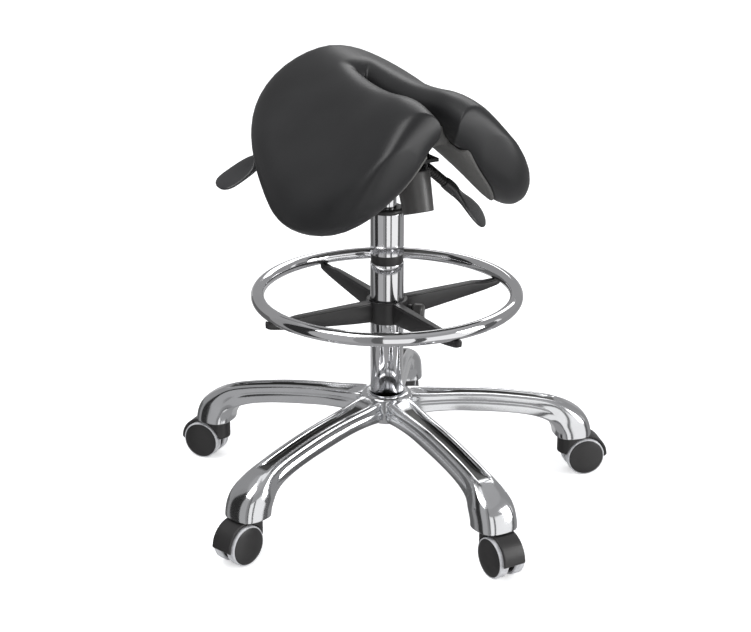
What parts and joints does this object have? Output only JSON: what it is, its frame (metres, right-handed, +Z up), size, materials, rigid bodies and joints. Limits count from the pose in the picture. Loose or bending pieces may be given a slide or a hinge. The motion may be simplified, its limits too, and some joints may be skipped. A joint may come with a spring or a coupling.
{
  "type": "saddle stool",
  "caption": "Split-saddle clinic stool on a five-arm castor base, with gas lift, adjustable foot ring, tilting seat and side levers.",
  "frame": {"origin": "on the floor, on the column's axis", "axes": "+Z up, -Y the way the rider faces, +X the rider's left"},
  "size_m": [0.682, 0.6486, 0.6659],
  "materials": {
    "polished_aluminium": "polished",
    "chrome_steel": "polished",
    "bright_steel": "satin",
    "black_steel": "satin",
    "black_nylon": "fine grain",
    "gloss_black_plastic": "gloss",
    "grey_tread": "matte",
    "black_leathercloth": "smooth coated leathercloth, low sheen",
    "dark_cover_board": "matte"
  },
  "bodies": {
    "base": {"star_base": "polished_aluminium", "castor_stems": "bright_steel", "column_tube": "chrome_steel", "column_bush": "black_nylon", "thrust_bearing": "bright_steel"},
    "swivel_rod": {"piston_rod": "bright_steel", "rod_clip": "bright_steel"},
    "lift": {"gas_cylinder": "chrome_steel", "mechanism_housing": "black_steel"},
    "button": {"release_button": "bright_steel"},
    "seat": {"seat_plate": "black_steel", "tilt_pin": "bright_steel", "tension_screw": "bright_steel", "tension_spring": "bright_steel", "seat_board": "dark_cover_board", "seat_screws": "bright_steel", "seat_cushion": "black_leathercloth", "underside_panel_left": "dark_cover_board", "underside_panel_right": "dark_cover_board"},
    "tension_grip": {"tension_knob": "black_nylon"},
    "height_lever": {"height_lever_rod": "chrome_steel", "height_lever_paddle": "gloss_black_plastic"},
    "tilt_lever": {"tilt_lever_rod": "chrome_steel", "tilt_lever_sleeve": "black_nylon", "tilt_lever_paddle": "gloss_black_plastic"},
    "foot_rest": {"foot_ring": "chrome_steel", "ring_spider": "black_nylon", "ring_screws": "black_steel"},
    "ring_clamp": {"clamp_knob": "black_nylon", "clamp_screw": "bright_steel"},
    "castor_1": {"castor_1_hood": "black_nylon", "castor_1_axle": "bright_steel"},
    "castor_1_left": {"castor_1_wheel_left": "black_nylon", "castor_1_tread_left": "grey_tread"},
    "castor_1_right": {"castor_1_wheel_right": "black_nylon", "castor_1_tread_right": "grey_tread"},
    "castor_2": {"castor_2_hood": "black_nylon", "castor_2_axle": "bright_steel"},
    "castor_2_left": {"castor_2_wheel_left": "black_nylon", "castor_2_tread_left": "grey_tread"},
    "castor_2_right": {"castor_2_wheel_right": "black_nylon", "castor_2_tread_right": "grey_tread"},
    "castor_3": {"castor_3_hood": "black_nylon", "castor_3_axle": "bright_steel"},
    "castor_3_left": {"castor_3_wheel_left": "black_nylon", "castor_3_tread_left": "grey_tread"},
    "castor_3_right": {"castor_3_wheel_right": "black_nylon", "castor_3_tread_right": "grey_tread"},
    "castor_4": {"castor_4_hood": "black_nylon", "castor_4_axle": "bright_steel"},
    "castor_4_left": {"castor_4_wheel_left": "black_nylon", "castor_4_tread_left": "grey_tread"},
    "castor_4_right": {"castor_4_wheel_right": "black_nylon", "castor_4_tread_right": "grey_tread"},
    "castor_5": {"castor_5_hood": "black_nylon", "castor_5_axle": "bright_steel"},
    "castor_5_left": {"castor_5_wheel_left": "black_nylon", "castor_5_tread_left": "grey_tread"},
    "castor_5_right": {"castor_5_wheel_right": "black_nylon", "castor_5_tread_right": "grey_tread"}
  },
  "joints": [
    {"name": "seat_swivel", "type": "hinge", "parent": "base", "child": "swivel_rod", "pos_m": [0, 0, 0.13], "axis": [0, 0, 1], "continuous": true},
    {"name": "height_slide", "type": "slide", "parent": "swivel_rod", "child": "lift", "axis": [0, 0, 1], "range_m": [-0.048, 0.14]},
    {"name": "seat_tilt", "type": "hinge", "parent": "lift", "child": "seat", "pos_m": [0, -0.016, 0.561], "axis": [1, 0, 0], "range_deg": [-5, 5], "deforming": ["tension_spring"]},
    {"name": "release_press", "type": "slide", "parent": "lift", "child": "button", "axis": [0, 0, 1], "range_m": [-0.002, 0], "stiffness_N_per_m": 300},
    {"name": "height_lever_lift", "type": "hinge", "parent": "seat", "child": "height_lever", "pos_m": [-0.033, 0, 0.566], "axis": [0, 1, 0], "range_deg": [0, 5], "stiffness_Nm_per_rad": 3, "springref_deg": -2.86},
    {"name": "tilt_lever_lift", "type": "hinge", "parent": "seat", "child": "tilt_lever", "pos_m": [0.033, -0.03, 0.522], "axis": [0, -1, 0], "range_deg": [-6, 5]},
    {"name": "tension_turn", "type": "hinge", "parent": "seat", "child": "tension_grip", "pos_m": [0, -0.088, 0.47], "axis": [0, 0.309, 0.9511], "range_deg": [-720, 720]},
    {"name": "ring_slide", "type": "slide", "parent": "base", "child": "foot_rest", "axis": [0, 0, 1], "range_m": [-0.08, 0.09]},
    {"name": "ring_clamp_turn", "type": "hinge", "parent": "foot_rest", "child": "ring_clamp", "pos_m": [0.03264, -0.03098, 0.2975], "axis": [0.7254, -0.6884, 0], "range_deg": [-360, 0]},
    {"name": "castor_1_swivel", "type": "hinge", "parent": "base", "child": "castor_1", "pos_m": [0, -0.2965, 0.06], "axis": [0, 0, 1], "continuous": true},
    {"name": "castor_1_roll_left", "type": "hinge", "parent": "castor_1", "child": "castor_1_left", "pos_m": [0, -0.3175, 0.03], "axis": [1, 0, 0], "continuous": true},
    {"name": "castor_1_roll_right", "type": "hinge", "parent": "castor_1", "child": "castor_1_right", "pos_m": [0, -0.3175, 0.03], "axis": [1, 0, 0], "continuous": true},
    {"name": "castor_2_swivel", "type": "hinge", "parent": "base", "child": "castor_2", "pos_m": [0.28199, -0.09162, 0.06], "axis": [0, 0, 1], "continuous": true},
    {"name": "castor_2_roll_left", "type": "hinge", "parent": "castor_2", "child": "castor_2_left", "pos_m": [0.30196, -0.09811, 0.03], "axis": [0.309, 0.9511, 0], "continuous": true},
    {"name": "castor_2_roll_right", "type": "hinge", "parent": "castor_2", "child": "castor_2_right", "pos_m": [0.30196, -0.09811, 0.03], "axis": [0.309, 0.9511, 0], "continuous": true},
    {"name": "castor_3_swivel", "type": "hinge", "parent": "base", "child": "castor_3", "pos_m": [0.17428, 0.23987, 0.06], "axis": [0, 0, 1], "continuous": true},
    {"name": "castor_3_roll_left", "type": "hinge", "parent": "castor_3", "child": "castor_3_left", "pos_m": [0.18662, 0.25686, 0.03], "axis": [-0.809, 0.5878, 0], "continuous": true},
    {"name": "castor_3_roll_right", "type": "hinge", "parent": "castor_3", "child": "castor_3_right", "pos_m": [0.18662, 0.25686, 0.03], "axis": [-0.809, 0.5878, 0], "continuous": true},
    {"name": "castor_4_swivel", "type": "hinge", "parent": "base", "child": "castor_4", "pos_m": [-0.17428, 0.23987, 0.06], "axis": [0, 0, 1], "continuous": true},
    {"name": "castor_4_roll_left", "type": "hinge", "parent": "castor_4", "child": "castor_4_left", "pos_m": [-0.18662, 0.25686, 0.03], "axis": [-0.809, -0.5878, 0], "continuous": true},
    {"name": "castor_4_roll_right", "type": "hinge", "parent": "castor_4", "child": "castor_4_right", "pos_m": [-0.18662, 0.25686, 0.03], "axis": [-0.809, -0.5878, 0], "continuous": true},
    {"name": "castor_5_swivel", "type": "hinge", "parent": "base", "child": "castor_5", "pos_m": [-0.28199, -0.09162, 0.06], "axis": [0, 0, 1], "continuous": true},
    {"name": "castor_5_roll_left", "type": "hinge", "parent": "castor_5", "child": "castor_5_left", "pos_m": [-0.30196, -0.09811, 0.03], "axis": [0.309, -0.9511, 0], "continuous": true},
    {"name": "castor_5_roll_right", "type": "hinge", "parent": "castor_5", "child": "castor_5_right", "pos_m": [-0.30196, -0.09811, 0.03], "axis": [0.309, -0.9511, 0], "continuous": true}
  ],
  "couplings": [
    {"joint": "release_press", "follows": "height_lever_lift", "m_per_rad": -0.0225}
  ]
}
